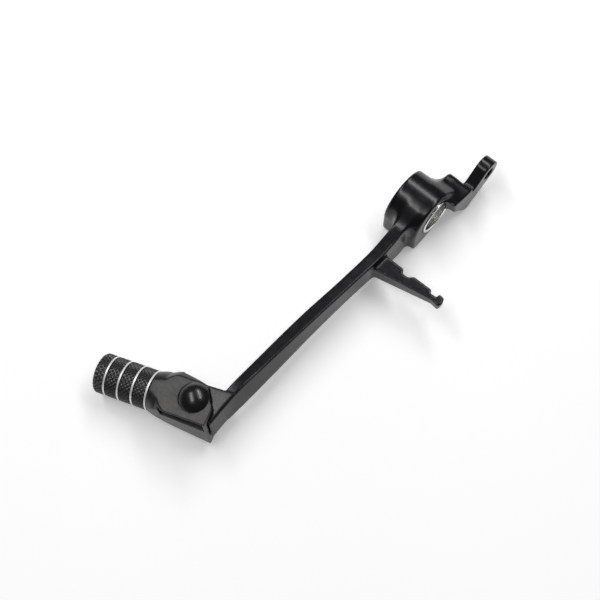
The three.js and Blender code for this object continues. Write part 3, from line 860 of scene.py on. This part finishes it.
def knurl_band(start, end, rows, rounding=0.0):
    """Rows of (y, radii round the peg) for a band of pyramids.

    The pyramids fade into a plain edge at each end, unless the far end is rounded off instead.
    """
    fine = KNURL["fine"]
    column = np.arange(2 * KNURL["round"] * fine)
    steps = rows * 2 * fine
    result = []
    for k in range(steps + 1):
        y = start + (end - start) * k / steps
        p = (column % (2 * fine)) / fine
        q = (k % (2 * fine)) / fine
        tip_in_row = np.abs(p - 1) + min(q, 2 - q)
        tip_between = np.minimum(p, 2 - p) + abs(q - 1)
        away = np.minimum(tip_in_row, tip_between)
        height = 1 - np.maximum(away - 1 / fine, 0) / (1 - 1 / fine)
        height = height * min(1.0, (y - start) / KNURL["fade"])
        drop = 0.0
        if rounding:
            inward = 1 - min(1.0, max(0.0, (end - y) / rounding))
            drop = rounding * (1 - math.sqrt(1 - inward * inward))
        else:
            height = height * min(1.0, max(0.0, (end - y) / KNURL["fade"]))
        result.append((y, PEG["radius"] - KNURL["depth"] * (1 - height) - drop))
    return result


def bright_band(start):
    """Rows of (y, radius, bright) over one turned band, from the groove before it to the one after."""
    end = start + PEG["ring"]
    top = PEG["radius"] - 0.06
    edge, groove = top - 0.05, top - 0.42
    return [
        (start, groove, False), (start, edge, True), (start + 0.06, top, True),
        (end - 0.06, top, True), (end, edge, True), (end, groove, False),
    ]


def peg_rows():
    """Rows of (y, radius or radii, bright) along the peg's outside and back in through its recess."""
    start, end = PEG["start"], PEG["start"] + PEG["length"]
    hole, recess = BOLT["shank"] + 0.3, PEG_RECESS["radius"]
    floor = end - PEG_RECESS["depth"]
    rows = [(start, hole, False)]
    for i in range(PEG["rings"]):
        at = start + i * PEG["pitch"]
        rows += bright_band(at)
        grip_start = at + PEG["ring"] + 0.02
        if i == PEG["rings"] - 1:
            grip = knurl_band(grip_start, end - 0.3, 2, KNURL["end_rounding"])
        else:
            grip = knurl_band(grip_start, at + PEG["pitch"] - 0.02, 3)
        rows += [(y, radii, False) for y, radii in grip]
    return rows + [
        (end, PEG["radius"] - 2.2, False), (end, recess + 0.4, False), (end - 0.4, recess, False),
        (floor, recess, False), (floor, hole, False),
    ]


def build_peg():
    """The knurled sleeve: bright turned bands part its grip, and its end holds the bolt."""
    rows = peg_rows()
    columns = 2 * KNURL["round"] * KNURL["fine"]
    angle = np.arange(columns) * 2 * math.pi / columns
    vertices = np.concatenate([
        np.stack([radii * np.cos(angle), np.full(columns, y), radii * np.sin(angle)], axis=1)
        for y, radii, _ in rows
    ])
    faces, slots = [], []
    for k, (_, _, bright) in enumerate(rows):
        m = (k + 1) % len(rows)
        slot = 1 if bright and rows[m][2] else 0
        for i in range(columns):
            j = (i + 1) % columns
            faces.append((k * columns + i, m * columns + i, m * columns + j, k * columns + j))
            slots.append(slot)
    grip = knurled_black()
    silver = turned_metal("bright_ring", (0.93, 0.93, 0.94), 0.42, TOE, 0.5)
    obj = mesh_object("knurled_peg", vertices, faces, [grip, silver], PEG_AXIS)
    obj.data.polygons.foreach_set("material_index", slots)
    obj.data.set_sharp_from_angle(angle=math.radians(24))
    return settle(obj, "toe_tip", "knurled_black", "toe_peg")


def build_peg_hardware():
    """The socket-head bolt that holds the peg on, and the split washer under its head."""
    washer_seat = PEG["start"] + PEG["length"] - PEG_RECESS["depth"] + FIT
    head_seat = washer_seat + LOCK_WASHER["thickness"] + FIT
    inner, outer = BOLT["shank"] + FIT, LOCK_WASHER["outer"]
    washer = turned("split_washer", [
        (inner, washer_seat, 0.2), (outer, washer_seat, 0.25),
        (outer, head_seat - FIT, 0.25), (inner, head_seat - FIT, 0.2),
    ], [spring_steel()], PEG_AXIS)
    settle(washer, "toe_tip", "spring_steel", "peg_lock_washer")
    shank, head, tip = BOLT["shank"], BOLT["head"], BOLT["end"]
    threads = []
    y = tip + 0.8
    while y < BLOCK["end"] + 4:
        threads += [(shank - 0.35, y, 0), (shank - 0.02, y + 0.5, 0)]
        y += 1.0
    top = head_seat + BOLT["head_height"]
    socket, socket_floor = BOLT["socket"] + 0.1, top - BOLT["socket_depth"]
    bolt = turned("socket_bolt", [
        (0, tip, 0), (shank - 0.7, tip, 0.3), *threads,
        (shank, y, 0.2), (shank, head_seat, 0.1), (head, head_seat, 0.3),
        (head, top, 0.6), (socket + 0.6, top, 0.3), (socket, top - 0.5, 0.1),
        (socket, socket_floor, 0.1), (0, socket_floor - 0.9, 0),
    ], [black_oxide()], PEG_AXIS, 96)
    settle(bolt, "toe_tip", "black_oxide", "peg_bolt")


# ---- studio -------------------------------------------------------------------------------------------

def place_camera():
    """The photograph's viewing angle, from above the toe and inboard of the lever."""
    azimuth, elevation = CAMERA["azimuth"], CAMERA["elevation"]
    level = math.cos(elevation)
    back = Vector((math.sin(azimuth) * level, -math.cos(azimuth) * level, math.sin(elevation)))
    right = Vector((math.cos(azimuth), math.sin(azimuth), 0))
    camera = bpy.data.objects.new("camera", bpy.data.cameras.new("camera"))
    camera.data.lens = CAMERA["lens"]
    camera.data.sensor_width = CAMERA["sensor"]
    camera.data.clip_start = 0.01
    camera.matrix_world = Matrix((right, back.cross(right), back)).transposed().to_4x4()
    camera.location = CAMERA["place"]
    bpy.context.scene.collection.objects.link(camera)
    bpy.context.scene.camera = camera


def strip_light(name, toward, power):
    """A long, narrow area light above the part, turned to lie along STRIP_LINE."""
    light = bpy.data.lights.new(name, "AREA")
    light.shape = "RECTANGLE"
    light.size, light.size_y = STRIP["width"], STRIP["length"]
    light.energy = power
    obj = bpy.data.objects.new(name, light)
    back = toward.normalized()
    along = STRIP_LINE - back * back.dot(STRIP_LINE)
    along.normalize()
    obj.matrix_world = Matrix((along.cross(back), along, back)).transposed().to_4x4()
    obj.location = STRIP["aim"] + back * STRIP["distance"]
    bpy.context.scene.collection.objects.link(obj)


def floor_material():
    """Pale, faintly mottled paper that glows a little, which keeps the shadows light."""
    n = Nodes("paper_floor", Roughness=0.75, Specular_IOR_Level=0.2, Emission_Strength=FLOOR["glow"])
    n.shader.inputs["Emission Color"].default_value = (1, 1, 1, 1)
    n.feed("Base Color", n.ramp(n.noise(6, 2), (0.3, (0.86, 0.86, 0.865)), (0.7, (0.88, 0.88, 0.885))))
    return n.material


def light_tent():
    """A dark grey tent, a little lighter overhead."""
    world = bpy.data.worlds.new("studio")
    bpy.context.scene.world = world
    world.use_nodes = True
    tree = world.node_tree
    place = tree.nodes.new("ShaderNodeTexCoord")
    split = tree.nodes.new("ShaderNodeSeparateXYZ")
    ramp = tree.nodes.new("ShaderNodeValToRGB")
    tree.links.new(place.outputs["Generated"], split.inputs["Vector"])
    tree.links.new(split.outputs["Z"], ramp.inputs["Fac"])
    tree.links.new(ramp.outputs["Color"], tree.nodes["Background"].inputs["Color"])
    elements = ramp.color_ramp.elements
    while len(elements) < len(TENT):
        elements.new(0.5)
    for element, (height, grey) in zip(elements, TENT):
        element.position = height
        element.color = (grey, grey, grey * 1.01, 1)
    tree.nodes["Background"].inputs["Strength"].default_value = 1.0


def build_studio():
    """The floor under the part, the tent round it and the two strip lights above it."""
    low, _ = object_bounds()
    reach = FLOOR["reach"]
    z = low.z / MM - FLOOR["gap"]
    corners = [(-reach, -reach, z), (reach, -reach, z), (reach, reach, z), (-reach, reach, z)]
    floor = mesh_object("floor", corners, [(0, 1, 2, 3)], [floor_material()])
    bpy.context.scene.collection.objects.link(floor)
    light_tent()
    for name, (toward, power) in STRIPS.items():
        strip_light(name, toward, power)
    bpy.context.scene.view_settings.view_transform = "Standard"


place_camera()
build_casting()
build_bush()
build_block()
build_rivet()
build_rivet_washer()
build_spring()
build_peg()
build_peg_hardware()
build_studio()
